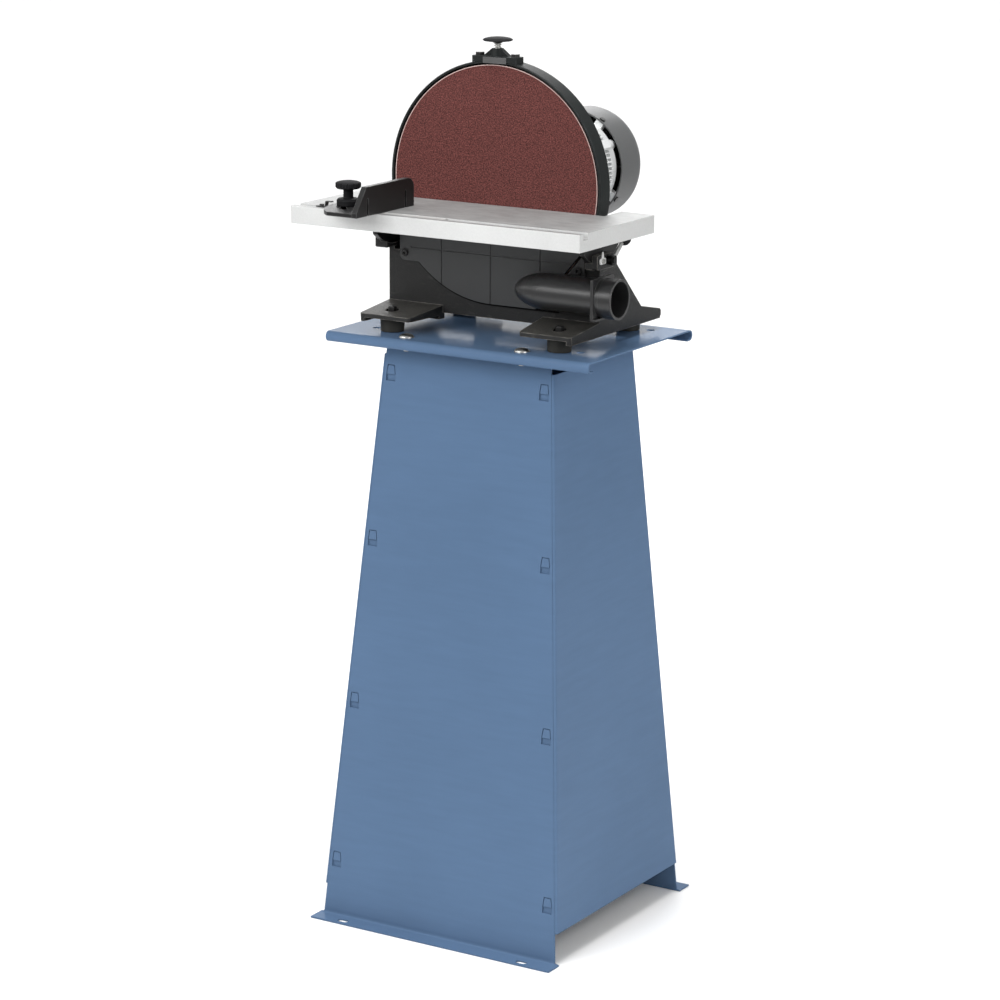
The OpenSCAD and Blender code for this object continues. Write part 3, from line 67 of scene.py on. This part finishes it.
class Graph:
    """One material's node tree. A value is a number, a tuple or another node's output."""

    def __init__(self, name):
        self.mat = bpy.data.materials.new(name)
        self.mat.use_nodes = True
        self.tree = self.mat.node_tree
        self.shader = self.tree.nodes["Principled BSDF"]
        self.coord = self.node("TexCoord").outputs["Object"]

    def feed(self, socket, value):
        """Link a socket to an output, or set it to a plain value."""
        if isinstance(value, bpy.types.NodeSocket):
            self.tree.links.new(value, socket)
        else:
            socket.default_value = value

    def fill(self, node, **values):
        """Feed a node's inputs by name, with _ for each space."""
        for name, value in values.items():
            self.feed(node.inputs[name.replace("_", " ")], value)
        return node

    def node(self, kind, **values):
        return self.fill(self.tree.nodes.new("ShaderNode" + kind), **values)

    def operate(self, kind, operation, *values):
        """A Math or VectorMath node, whose inputs share one name."""
        node = self.node(kind)
        node.operation = operation
        for socket, value in zip(node.inputs, values):
            self.feed(socket, value)
        return node.outputs

    def product(self, a, b):
        return self.operate("Math", "MULTIPLY", a, b)["Value"]

    def total(self, a, b):
        return self.operate("Math", "ADD", a, b)["Value"]

    def blend(self, a, part_a, b, part_b):
        """Sum of two values, each by its part."""
        return self.total(self.product(a, part_a), self.product(b, part_b))

    def remap(self, value, span, result):
        """Value moved from one span to another, and held at its ends."""
        return self.node("MapRange", Value=value, From_Min=span[0], From_Max=span[1],
                         To_Min=result[0], To_Max=result[1]).outputs["Result"]

    def mix(self, factor, a, b):
        """Colour a where the factor is 0, b where it is 1."""
        node = self.node("Mix")
        node.data_type = "RGBA"
        self.fill(node, Factor=factor)
        for name, value in (("A", a), ("B", b)):
            socket = next(s for s in node.inputs if s.name == name and s.type == "RGBA")
            self.feed(socket, (*value, 1) if isinstance(value, tuple) else value)
        return next(s for s in node.outputs if s.type == "RGBA")

    def tones(self, value, span, base, dark, light):
        """The base colour, from its dark share to its light share over the value's span."""
        return self.mix(self.remap(value, span, FULL), shade(base, dark), shade(base, light))

    def noise(self, scale, detail=4.0, rough=0.55, squeeze=(1, 1, 1), distort=0.0):
        """Noise over the object; a factor above 1 in squeeze makes it finer along that axis."""
        place = self.node("Mapping", Vector=self.coord, Scale=squeeze).outputs["Vector"]
        return self.node("TexNoise", Vector=place, Scale=scale, Detail=detail, Roughness=rough,
                         Distortion=distort).outputs["Fac"]

    def cells(self, scale):
        """Distance from the middle of the nearest grain."""
        return self.node("TexVoronoi", Vector=self.coord, Scale=scale).outputs["Distance"]

    def radius(self, center, axis):
        """Distance from the line through a point along an axis."""
        across = [float(i != axis) for i in range(3)]
        offset = self.operate("VectorMath", "SUBTRACT", self.coord, center)["Vector"]
        flat = self.operate("VectorMath", "MULTIPLY", offset, across)["Vector"]
        return self.operate("VectorMath", "LENGTH", flat)["Value"]

    def surface_normal(self):
        return self.node("NewGeometry").outputs["Normal"]

    def rounded_normal(self, radius, samples):
        """The normal as if each edge had this radius."""
        bevel = self.node("Bevel", Radius=radius)
        bevel.samples = samples
        return bevel.outputs["Normal"]

    def upward(self):
        """One on faces that look up, zero on walls."""
        wall, level = 0.45, 0.9
        height = self.node("SeparateXYZ", Vector=self.surface_normal()).outputs["Z"]
        return self.remap(height, (wall, level), FULL)

    def worn(self, width, patches=90.0):
        """One along sharp edges, broken up by noise, zero on flats."""
        flat, sharp = 0.995, 0.90  # cosine between the rounded normal and the real one
        turned = self.operate("VectorMath", "DOT_PRODUCT", self.rounded_normal(width, 6),
                              self.surface_normal())["Value"]
        broken = self.remap(self.noise(patches), (0.40, 0.62), (0.15, 1))
        return self.product(self.remap(turned, (flat, sharp), FULL), broken)

    def bump(self, height, strength, distance, edge=0.0):
        """Relief from a height, over edges rounded by the radius edge."""
        node = self.node("Bump", Strength=strength, Distance=distance, Height=height)
        if edge:
            self.fill(node, Normal=self.rounded_normal(edge, 4))
        self.fill(self.shader, Normal=node.outputs["Normal"])

    def finish(self, **values):
        """Feed the surface shader, and return the material."""
        self.fill(self.shader, **values)
        return self.mat


def shade(color, share):
    return tuple(max(0.0, min(1.0, channel * share)) for channel in color)


def painted(name, base, rough=0.45, metallic=0.0, spread=0.08, grain=900.0, bump=0.12,
            edge=0.0008, wear=None, **sockets):
    """Paint, plastic or rubber: slow drift of tone, fine grain, lighter worn edges."""
    g = Graph(name)
    drift = g.noise(6.0, detail=5.0)
    color = g.tones(drift, MIDDLE, base, 1 - spread, 1 + spread)
    if wear:
        color = g.mix(g.worn(width=0.0009), color, wear)
    fine = g.noise(grain, detail=3.0, rough=0.6)
    g.bump(fine, bump, distance=0.0006, edge=edge)
    return g.finish(Base_Color=color, Roughness=g.remap(fine, MIDDLE, (rough - 0.04, rough + 0.06)),
                    Metallic=metallic, **sockets)


def enamel(name, base):
    """Sheet paint: faint orange peel, slow drift of tone, level streaks and duller smears."""
    g = Graph(name)
    drift = g.noise(2.6)
    streak = g.noise(14.0, rough=0.6, squeeze=(1, 1, 9))
    color = g.tones(g.blend(drift, 0.7, streak, 0.3), (0.35, 0.65), base, 0.94, 1.06)
    smear = g.noise(22.0, detail=5.0, rough=0.6)
    peel = g.noise(330.0, detail=2.0, rough=0.5)
    g.bump(peel, 0.03, distance=0.0003, edge=0.0012)
    return g.finish(Base_Color=color, Roughness=g.remap(smear, (0.35, 0.7), (0.12, 0.18)),
                    Specular_IOR_Level=0.03)


def brushed(name, base, rough, squeeze=(1, 40, 40), metallic=1.0, spread=0.10):
    """Machined or drawn metal, with its lines along the axis that squeeze leaves at 1."""
    g = Graph(name)
    lines = g.noise(60.0, rough=0.6, squeeze=squeeze)
    cloud = g.noise(9.0)
    color = g.tones(g.blend(lines, 0.6, cloud, 0.4), MIDDLE, base, 1 - spread, 1 + spread)
    g.bump(lines, 0.10, distance=0.0004, edge=0.0006)
    return g.finish(Base_Color=color, Metallic=metallic,
                    Roughness=g.remap(lines, (0.25, 0.75), (rough - 0.07, rough + 0.10)))


def ground_table(name, base):
    """Cast table: clean milled edges, and a ground top with lay and scuffs, its colour painted darker on faces
    that look up as painted shade.
    """
    g = Graph(name)
    lines = g.noise(70.0, rough=0.6, squeeze=(1, 16, 16))
    cloud = g.noise(10.0, detail=7.0, rough=0.66, distort=0.5)
    smudge = g.noise(30.0, detail=6.0, rough=0.72, squeeze=(1, 2.2, 1))
    fine = g.noise(420.0, detail=3.0, rough=0.6)
    edge = g.tones(g.blend(fine, 0.5, cloud, 0.5), INNER, base, 0.95, 1.04)
    # painted shade: faces that look up get a much darker share of the base colour than the walls
    top = g.tones(g.blend(lines, 0.35, smudge, 0.65), INNER, base, 0.38, 0.57)
    g.bump(lines, 0.05, distance=0.0004, edge=0.001)
    return g.finish(Base_Color=g.mix(g.upward(), edge, top),
                    Roughness=g.remap(cloud, MIDDLE, (0.46, 0.60)),
                    Metallic=0.55, Specular_IOR_Level=0.35)


def lever_metal(name, base, dark, pivot, hub_r):
    """Plated rod with a blackened hub round its stud, for the lever of either side."""
    g = Graph(name)
    soft_edge = 0.0004
    lines = g.noise(300.0)
    hub = g.remap(g.radius(pivot, X), (hub_r, hub_r + soft_edge), (1, 0))
    g.bump(lines, 0.08, distance=0.0004, edge=0.0005)
    return g.finish(Base_Color=g.mix(hub, g.tones(lines, MIDDLE, base, 0.85, 1.1), dark),
                    Roughness=g.remap(lines, MIDDLE, (0.30, 0.45)), Metallic=0.85)


def casting(name, base, rough, grain, metallic=0.0, bump=0.5, spread=0.12, edge=0.0015,
            wear=None, dust=None, **sockets):
    """Sand-cast or textured skin: pebbled relief, slow patches, worn edges, dusty scuffs."""
    g = Graph(name)
    pebble = g.noise(grain, detail=6.0, rough=0.65)
    patch = g.noise(14.0)
    color = g.tones(g.blend(pebble, 0.5, patch, 0.5), (0.35, 0.65), base, 1 - spread, 1 + spread)
    if dust:
        scuff = g.noise(26.0, detail=9.0, rough=0.72, squeeze=(1, 1, 2.4), distort=1.4)
        color = g.mix(g.remap(scuff, (0.55, 0.74), (0, 0.75)), color, dust)
        settled = g.product(g.upward(), g.remap(scuff, (0.30, 0.62), (0.35, 1)))
        color = g.mix(settled, color, dust)
    if wear:
        color = g.mix(g.worn(width=0.0016, patches=60.0), color, wear)
    g.bump(pebble, bump, distance=0.0012, edge=edge)
    return g.finish(Base_Color=color, Roughness=g.remap(pebble, MIDDLE, (rough - 0.1, rough + 0.1)),
                    Metallic=metallic, **sockets)


def abrasive(name, center, rim):
    """Aluminium oxide grit: light and dark grains on red-brown resin, and a pale cut edge."""
    resin_dark, resin_light = (0.026, 0.005, 0.004), (0.160, 0.047, 0.042)
    grit, cut_cloth = (0.28, 0.122, 0.106), (0.62, 0.46, 0.43)
    cut_from, cut_full = 0.0011, 0.0006
    g = Graph(name)
    grain = g.cells(520.0)
    speck = g.noise(560.0, detail=2.0, rough=0.7)
    clump = g.noise(150.0, detail=3.0, rough=0.6)
    resin = g.remap(g.blend(speck, 0.9, clump, 0.1), INNER, FULL)
    color = g.mix(resin, resin_dark, resin_light)
    color = g.mix(g.remap(grain, (0.0, 0.24), (0.55, 0.0)), color, grit)
    cut = g.remap(g.radius(center, Y), (rim - cut_from, rim - cut_full), FULL)
    g.bump(g.total(speck, grain), 0.5, distance=0.0010)
    return g.finish(Base_Color=g.mix(cut, color, cut_cloth), Specular_IOR_Level=0.25,
                    Roughness=g.remap(speck, MIDDLE, (0.75, 0.95)))


def laminated(name, base):
    """Stacked sheet core, thin plates along the shaft."""
    g = Graph(name)
    lines = g.noise(700.0, detail=1.0, rough=0.2, squeeze=(0.01, 1, 0.01))
    g.bump(lines, 0.3, distance=0.0005)
    return g.finish(Base_Color=g.tones(lines, (0.4, 0.6), base, 0.7, 1.15),
                    Roughness=g.remap(lines, MIDDLE, (0.35, 0.55)), Metallic=0.8)


looks = {
    "stand_paint": enamel("stand_enamel", (0.088, 0.146, 0.244)),
    "zinc_steel": brushed("zinc_plated", (0.50, 0.50, 0.48), rough=0.30, squeeze=(12, 12, 12),
                          spread=0.14),
    "black_steel": painted("black_oxide", (0.010, 0.010, 0.010), rough=0.34, metallic=0.3,
                           grain=1200.0, wear=(0.10, 0.10, 0.10)),
    "black_casting": casting("black_wrinkle", (0.012, 0.012, 0.012), rough=0.50, grain=480.0,
                             spread=0.2, wear=(0.22, 0.21, 0.19), dust=(0.055, 0.053, 0.048),
                             Specular_IOR_Level=0.30),
    "foot_rubber": painted("rubber", (0.027, 0.026, 0.021), rough=0.58, grain=1400.0, bump=0.2,
                           wear=(0.06, 0.06, 0.055), Specular_IOR_Level=0.35),
    "guard_paint": painted("guard_paint", (0.010, 0.012, 0.012), rough=0.52, spread=0.12,
                           grain=1100.0, wear=(0.06, 0.065, 0.065), Specular_IOR_Level=0.13),
    "cover_plastic": painted("cover_plastic", (0.040, 0.041, 0.042), rough=0.48, grain=1000.0,
                             bump=0.18, edge=0.001, wear=(0.06, 0.06, 0.06),
                             Specular_IOR_Level=0.4),
    "port_plastic": painted("port_plastic", (0.012, 0.012, 0.0125), rough=0.34, spread=0.12,
                            grain=1000.0, edge=0.001, wear=(0.10, 0.10, 0.098),
                            Specular_IOR_Level=0.55),
    "disc_metal": brushed("turned_aluminium", (0.55, 0.55, 0.54), rough=0.34,
                          squeeze=(30, 1, 30)),
    "abrasive_grit": abrasive("abrasive_grit", disc_center, disc_rim),
    "table_iron": ground_table("ground_table", (0.595, 0.60, 0.595)),
    "motor_alloy": casting("motor_alloy", (0.70, 0.71, 0.71), rough=0.48, metallic=0.35,
                           grain=600.0, bump=0.25, spread=0.10, edge=0.0008),
    "core_steel": laminated("core_steel", (0.40, 0.40, 0.40)),
    "copper_winding": painted("copper_winding", (0.38, 0.15, 0.06), rough=0.35, metallic=0.8,
                              grain=500.0, bump=0.6),
    "bearing_steel": brushed("bearing_steel", (0.62, 0.62, 0.62), rough=0.2,
                             squeeze=(20, 20, 20)),
    "cowl_plastic": painted("cowl_plastic", (0.080, 0.082, 0.083), rough=0.50, spread=0.06,
                            bump=0.15, edge=0.001, wear=(0.16, 0.16, 0.16)),
    "fan_plastic": painted("fan_plastic", (0.02, 0.02, 0.02), rough=0.5),
    "ball_plastic": painted("ball_plastic", (0.008, 0.008, 0.009), rough=0.70, grain=500.0,
                            bump=0.10, wear=(0.05, 0.05, 0.05), Specular_IOR_Level=0.12),
    "switch_plastic": painted("switch_plastic", (0.016, 0.016, 0.017), bump=0.2,
                              wear=(0.05, 0.05, 0.05)),
    "start_green": painted("start_green", (0.02, 0.22, 0.06), rough=0.3, grain=500.0, bump=0.04),
    "stop_red": painted("stop_red", (0.48, 0.02, 0.015), rough=0.3, grain=500.0, bump=0.04),
    "plate_alloy": brushed("plate_alloy", (0.11, 0.11, 0.11), rough=0.42, spread=0.25),
    "brake_lining": casting("brake_lining", (0.05, 0.035, 0.028), rough=0.8, grain=900.0,
                            bump=0.6),
    "gauge_paint": casting("gauge_paint", (0.005, 0.005, 0.005), rough=0.42, grain=700.0,
                           bump=0.15, wear=(0.09, 0.09, 0.09), Specular_IOR_Level=0.30),
}
lever = lever_metal("lever_steel", (0.50, 0.50, 0.49), (0.012, 0.012, 0.012),
                    pivot=joints["right_lock"]["pos_m"], hub_r=0.0068)
own_look = {
    "left_lock_lever": lever,
    "right_lock_lever": lever,
    "gauge_bar": brushed("bar_steel", (0.42, 0.42, 0.41), rough=0.5, metallic=0.35, spread=0.08),
    "tilt_pointer": brushed("pointer_alloy", (0.78, 0.78, 0.77), rough=0.42,
                            squeeze=(12, 12, 12), metallic=0.35, spread=0.06),
}
for part in frame["record"]["subparts"]:
    materials = nodes[part["node"]].data.materials
    materials.clear()
    materials.append(own_look.get(part["node"], looks[part["material_slot"]]))

RING_POINTS = 24
ROUND, HEXAGON = 0, 6


def rings(bm, levels):
    """Skin over closed rings of equal count, with the first and the last one capped."""
    rows = [[bm.verts.new(point) for point in level] for level in levels]
    for low, high in zip(rows, rows[1:]):
        for i, vert in enumerate(low):
            j = (i + 1) % len(low)
            bm.faces.new((vert, low[j], high[j], high[i]))
    bm.faces.new(list(reversed(rows[0])))
    bm.faces.new(rows[-1])


def ring(radius, sides, turn):
    """Points round a circle, or round a polygon whose flats lie at this radius."""
    points = []
    for i in range(RING_POINTS):
        angle = 2 * math.pi * i / RING_POINTS
        reach = radius
        if sides:
            from_flat = (angle - turn) % (2 * math.pi / sides) - math.pi / sides
            reach = radius / math.cos(from_flat)
        points.append((reach * math.cos(angle), reach * math.sin(angle)))
    return points


def stack(bm, profile, place, turn=0.0):
    """Skin over rows of (radius, sides, height); place(u, v, height) gives each point."""
    rings(bm, [[place(u, v, height) for u, v in ring(radius, sides, turn)]
               for radius, sides, height in profile])


def put(name, bm, slot, replaced=None, look=None, body="stand"):
    """Make the mesh an object that rides on a body, in place of the named CAD node."""
    bmesh.ops.recalc_face_normals(bm, faces=bm.faces)
    mesh = bpy.data.meshes.new(name)
    bm.to_mesh(mesh)
    bm.free()
    mesh.materials.append(look or looks[slot])
    ob = bpy.data.objects.new(name, mesh)
    bpy.context.scene.collection.objects.link(ob)
    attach(ob, body)
    if replaced:
        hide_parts(replaced)
    return ob


def hex_bolts():
    """Machine screws through the feet: washer face, narrow hexagon head, chamfered crown."""
    lo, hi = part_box("machine_bolts")
    cad_head_h, cad_half_corners, cad_half_flats = 0.0053, 0.0075, 0.0065
    shank_r, washer_r, root_r, head_r, crown_r = 0.0039, 0.0088, 0.0054, 0.0053, 0.0049
    washer_h, head_from, head_to, crown_h = 0.0009, 0.0012, 0.0080, 0.0089
    head_turn = 0.3  # radians, so no flat lies square to the foot
    seat = hi.z - cad_head_h
    profile = [(shank_r, ROUND, lo.z), (shank_r, ROUND, seat), (washer_r, ROUND, seat),
               (washer_r, ROUND, seat + washer_h), (root_r, ROUND, seat + washer_h),
               (head_r, HEXAGON, seat + head_from), (head_r, HEXAGON, seat + head_to),
               (crown_r, ROUND, seat + crown_h)]
    bm = bmesh.new()
    for x in (lo.x + cad_half_corners, hi.x - cad_half_corners):
        for y in (lo.y + cad_half_flats, hi.y - cad_half_flats):
            stack(bm, profile, lambda u, v, z: (x + u, y + v, z), head_turn)
    put("foot_bolts", bm, "black_steel", replaced="machine_bolts")


def socket_screws():
    """The lower cover's screws: round heads that stand proud, with hexagon sockets."""
    lo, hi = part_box("cover_screws")
    cad_head_r = (hi.z - lo.z) / 2
    axis_z = (lo.z + hi.z) / 2
    shank_r, neck_r, head_r, socket_r = 0.0024, 0.0041, 0.0047, 0.0022
    seat, neck_end, head_from = lo.y + 0.0019, lo.y + 0.0003, lo.y - 0.0002
    front = lo.y - 0.0034
    chamfer, socket_depth, socket_draft = 0.0006, 0.0026, 0.0001
    profile = [(shank_r, ROUND, hi.y), (shank_r, ROUND, seat), (neck_r, ROUND, seat),
               (neck_r, ROUND, neck_end), (head_r, ROUND, head_from),
               (head_r, ROUND, front + chamfer), (head_r - chamfer, ROUND, front),
               (socket_r, HEXAGON, front),
               (socket_r - socket_draft, HEXAGON, front + socket_depth)]
    bm = bmesh.new()
    for x in (lo.x + cad_head_r, hi.x - cad_head_r):
        stack(bm, profile, lambda u, v, y: (x + u, y, axis_z + v))
    put("cover_socket_screws", bm, "black_steel", replaced="cover_screws")


def cover_shadow_strip():
    """Thin black strip under the lower cover, painted shade standing in for the shadow line between cover and
    casting: round its left edge, then straight to the right.
    """
    lo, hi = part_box("lower_cover")
    axis_z = (disc_lo.z + disc_hi.z) / 2
    start, sweep, steps = -135, 45, 48  # degrees round the disc's axis, -90 is straight down
    straight_to = 0.1  # behind the dust port
    gap, thick, depth, lap, chamfer = 0.0001, 0.0021, 0.0030, 0.0003, 0.0004
    inner = axis_z - lo.z + gap
    outer = inner + thick
    wall = hi.y + lap
    front = wall - depth
    section = ((inner, wall), (inner, front), (outer, front + chamfer), (outer, wall))
    levels = []
    for i in range(steps + 1):
        angle = math.radians(start + sweep * i / steps)
        levels.append([(r * math.cos(angle), y, axis_z + r * math.sin(angle)) for r, y in section])
    levels.append([(straight_to, y, z) for _, y, z in levels[-1]])
    bm = bmesh.new()
    rings(bm, levels)
    # near-black look of the strip: painted shade in the gap under the cover, not a real seal
    rubber = painted("painted_shadow_black", (0.003, 0.003, 0.003), rough=0.8, spread=0.3,
                     Specular_IOR_Level=0.08)
    put("cover_shadow_strip", bm, "foot_rubber", look=rubber)


def brake_coil():
    """Push brake's spring: round wire, closed end coils, squeezed between bracket and cap."""
    lo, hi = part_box("brake_spring")
    wire_r, turns, steps, sides = 0.00055, 5, 32, 10
    x, y = (lo.x + hi.x) / 2, (lo.y + hi.y) / 2
    coil_r = (hi.x - lo.x) / 2 - wire_r
    length = hi.z - lo.z
    levels = []
    for i in range(turns * steps + 1):
        t = i / (turns * steps)
        angle = 2 * math.pi * turns * t
        rise = t - 0.5 * math.sin(2 * math.pi * t) / (2 * math.pi)
        z = lo.z + wire_r + (length - 2 * wire_r) * rise
        level = []
        for k in range(sides):
            around = 2 * math.pi * k / sides
            reach = coil_r + wire_r * math.cos(around)
            level.append((x + reach * math.cos(angle), y + reach * math.sin(angle),
                          z + wire_r * math.sin(around)))
        levels.append(level)
    bm = bmesh.new()
    rings(bm, levels)
    for face in bm.faces:
        face.smooth = True
    ob = put("brake_coil", bm, "zinc_steel", replaced="brake_spring", body="brake_plunger")
    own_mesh(ob)


hex_bolts()
socket_screws()
# painted shade: a black strip for the shadow line under the lower cover
cover_shadow_strip()
brake_coil()


def floor():
    """White floor that bends up into a wall, far behind the machine."""
    half_width, front, bend_from, bend_r, top = 9.0, -6.0, 7.0, 1.5, 8.0
    below_feet, turn, steps = 0.001, 31.5, 12
    profile = [(front, -below_feet)]
    for t in range(steps + 1):
        angle = t * math.pi / 2 / steps
        profile.append((bend_from + bend_r * math.sin(angle), bend_r - bend_r * math.cos(angle)))
    profile.append((bend_from + bend_r, top))
    bm = bmesh.new()
    rows = [[bm.verts.new((x, y, z)) for x in (-half_width, half_width)] for y, z in profile]
    for a, b in zip(rows, rows[1:]):
        bm.faces.new((a[0], a[1], b[1], b[0])).smooth = True
    mesh = bpy.data.meshes.new("studio_floor")
    bm.to_mesh(mesh)
    bm.free()
    g = Graph("studio_floor")
    soft = g.remap(g.noise(1.2, detail=2.0), MIDDLE, FULL)
    mesh.materials.append(g.finish(
        Base_Color=g.mix(soft, (0.93, 0.93, 0.93), (0.96, 0.96, 0.96)), Roughness=0.85))
    ob = bpy.data.objects.new("studio_floor", mesh)
    ob.rotation_euler = (0, 0, math.radians(turn))
    bpy.context.scene.collection.objects.link(ob)


def area(name, where, target, size, power):
    """Rectangular light, size wide and high, that faces its target."""
    light = bpy.data.lights.new(name, "AREA")
    light.shape = "RECTANGLE"
    light.size, light.size_y = size
    light.energy = power
    ob = bpy.data.objects.new(name, light)
    ob.location = where
    ob.rotation_euler = (Vector(target) - Vector(where)).to_track_quat("-Z", "Y").to_euler()
    bpy.context.scene.collection.objects.link(ob)


def surroundings(strength):
    """Even white light from all round."""
    world = bpy.data.worlds.new("studio")
    world.use_nodes = True
    background = world.node_tree.nodes["Background"]
    background.inputs["Color"].default_value = (1, 1, 1, 1)
    background.inputs["Strength"].default_value = strength
    bpy.context.scene.world = world


def camera():
    """The camera fitted to the photo: its place, its turns in degrees and its focal length."""
    place = Vector((2.24288, -3.66763, 1.62179))
    yaw, pitch, roll = (math.radians(v) for v in (31.528, 13.815, 0.300))
    focal_px, picture_px, sensor_mm = 3338.8, 1000.0, 36.0
    look = Vector((-math.sin(yaw) * math.cos(pitch), math.cos(yaw) * math.cos(pitch),
                   -math.sin(pitch)))
    level_right = Vector((math.cos(yaw), math.sin(yaw), 0))
    level_up = level_right.cross(look)
    right = math.cos(roll) * level_right + math.sin(roll) * level_up
    up = -math.sin(roll) * level_right + math.cos(roll) * level_up
    cam = bpy.data.cameras.new("camera")
    cam.sensor_width = sensor_mm
    cam.lens = sensor_mm * focal_px / picture_px
    cam.clip_start, cam.clip_end = 0.1, 60.0
    ob = bpy.data.objects.new("camera", cam)
    matrix = Matrix((right, up, -look)).transposed().to_4x4()
    matrix.translation = place
    ob.matrix_world = matrix
    bpy.context.scene.collection.objects.link(ob)
    bpy.context.scene.camera = ob


floor()
area("key", where=(-0.6, -1.8, 1.95), target=(0, 0, 0.95), size=(1.4, 1.2), power=31)
area("fill", where=(2.4, -0.6, 1.8), target=(0, 0, 0.9), size=(1.4, 1.4), power=31)
area("left", where=(-2.6, -1.2, 1.9), target=(0, 0, 1.0), size=(1.2, 1.2), power=16)
area("top", where=(0.25, -0.35, 3.0), target=(0, 0, 0.8), size=(1.0, 1.0), power=48)
area("back", where=(-1.5, 3.2, 2.6), target=(0, 0, 1.0), size=(2.0, 2.0), power=45)
area("backdrop", where=(-1.9, 3.0, 5.2), target=(-4.1, 6.7, 1.2), size=(6.0, 1.5), power=230)
surroundings(strength=0.48)
camera()
bpy.context.scene.view_settings.view_transform = "Standard"
